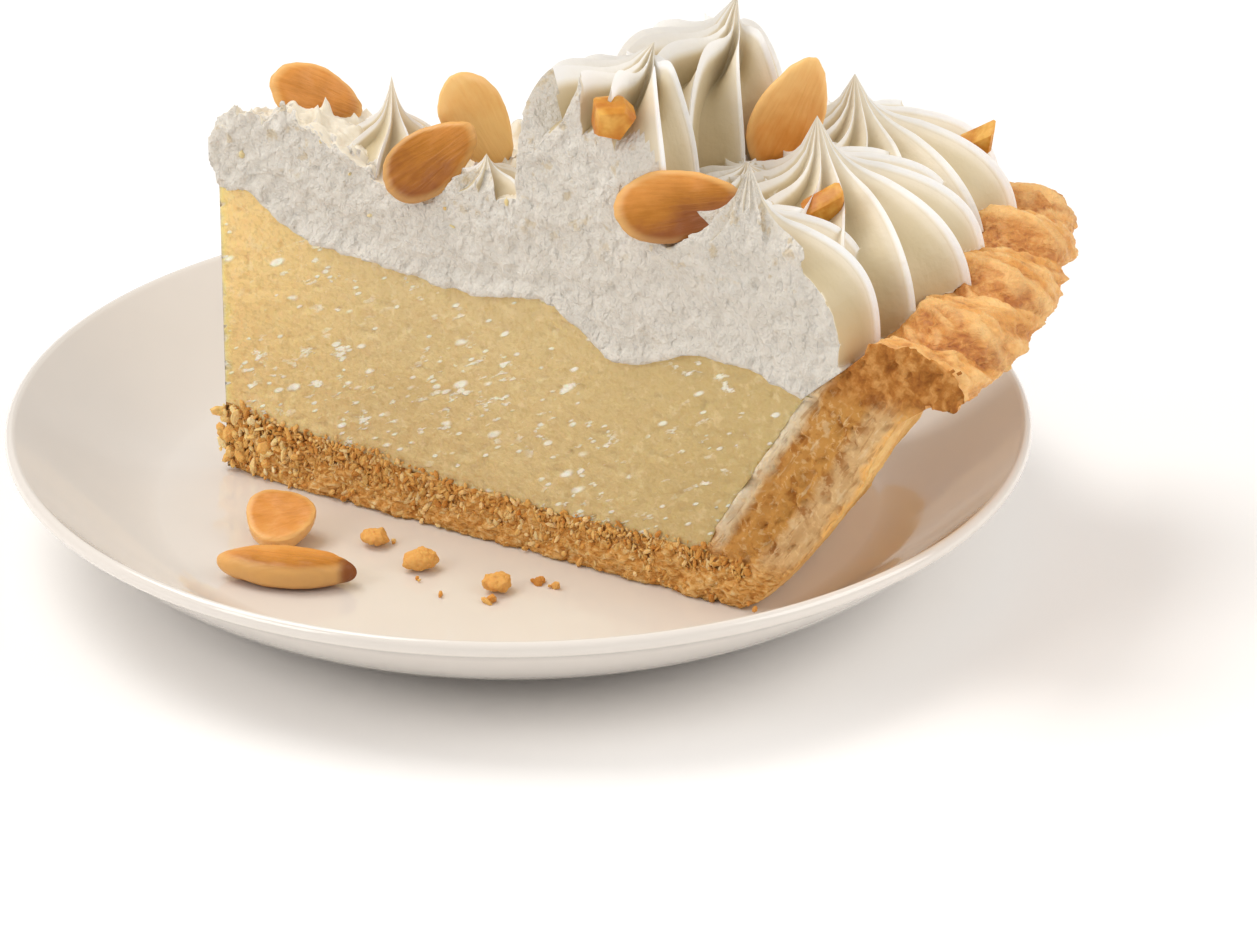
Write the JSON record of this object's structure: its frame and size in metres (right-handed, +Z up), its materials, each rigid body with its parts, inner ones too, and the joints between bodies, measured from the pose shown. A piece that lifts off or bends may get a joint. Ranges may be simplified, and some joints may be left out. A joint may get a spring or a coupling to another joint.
{
  "type": "slice of cream pie on a plate",
  "caption": "Wedge of custard and whipped cream pie in a crimped crust, topped with piped swirls and almond slices, on a round plate.",
  "frame": {"origin": "middle of the bounding box at the plate's foot, on the surface the plate stands on", "axes": "+Z up; the slice's tip points to -X and the crimped rim to +X; the cut face that the picture shows looks towards -Y"},
  "size_m": [0.1686, 0.1618, 0.0909],
  "materials": {
    "plate": "glossy ivory glaze",
    "crust": "baked pastry, flaky and crumbly",
    "custard": "moist smooth custard",
    "cream": "soft whipped cream",
    "almond": "toasted, satin",
    "crumb": "dry crumb"
  },
  "bodies": {
    "root": {"plate": "plate", "crust": "crust", "custard": "custard", "cream": "cream", "almond_tip": "almond", "almond_rear": "almond", "almond_front": "almond", "almond_face": "almond", "almond_tall": "almond", "chip_block": "almond", "chip_middle": "almond", "chip_back": "almond", "almond_disc": "almond", "almond_lens": "almond", "crumb_left": "crumb", "crumb_middle": "crumb", "crumb_right": "crumb"}
  },
  "joints": []
}
